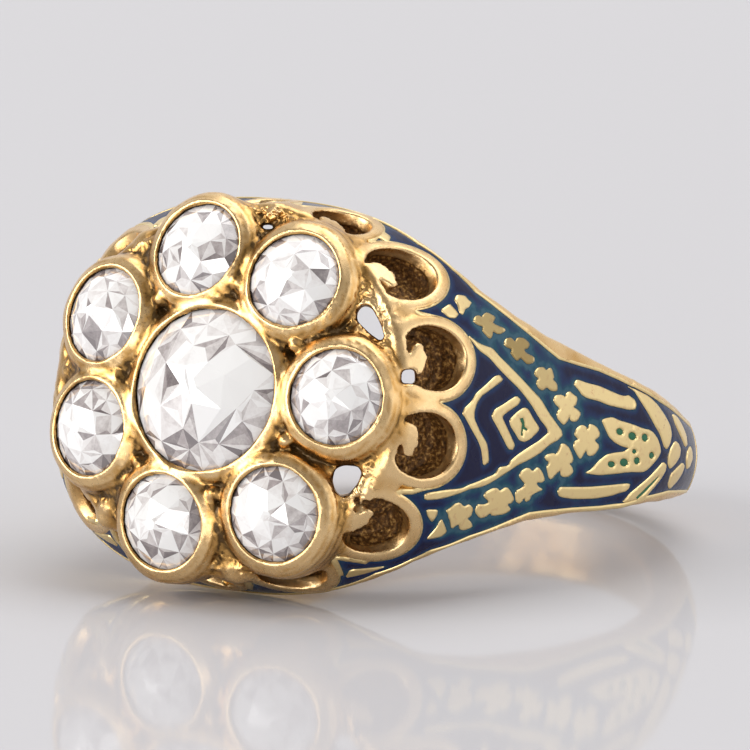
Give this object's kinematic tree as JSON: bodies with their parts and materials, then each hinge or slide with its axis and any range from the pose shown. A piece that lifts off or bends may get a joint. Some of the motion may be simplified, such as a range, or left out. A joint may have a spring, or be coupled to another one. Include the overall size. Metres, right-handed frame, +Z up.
{
  "type": "enamel diamond ring",
  "caption": "Gold finger ring with a domed cluster of rose-cut stones in rub-over collets, a pierced scroll gallery and enamelled shoulders.",
  "frame": {"origin": "on the surface the ring lies on, under the middle of its bounding box", "axes": "+Z up from the surface, -Y towards the head of the ring, +X across the finger to the right of the head; the ring lies on its side, its finger axis leaning from +Z towards +Y"},
  "size_m": [0.02, 0.0254, 0.0138],
  "materials": {
    "gold": "polished, darker in the hollows",
    "diamond": "polished facets",
    "blue_enamel": "glossy, opaque",
    "green_enamel": "glossy, opaque"
  },
  "bodies": {
    "root": {"gold_mount": "gold", "centre_stone": "diamond", "outer_stone_1": "diamond", "outer_stone_2": "diamond", "outer_stone_3": "diamond", "outer_stone_4": "diamond", "outer_stone_5": "diamond", "outer_stone_6": "diamond", "outer_stone_7": "diamond", "enamel_right": "blue_enamel", "enamel_left": "blue_enamel", "enamel_cell_1": "green_enamel", "enamel_cell_2": "green_enamel"}
  },
  "joints": []
}
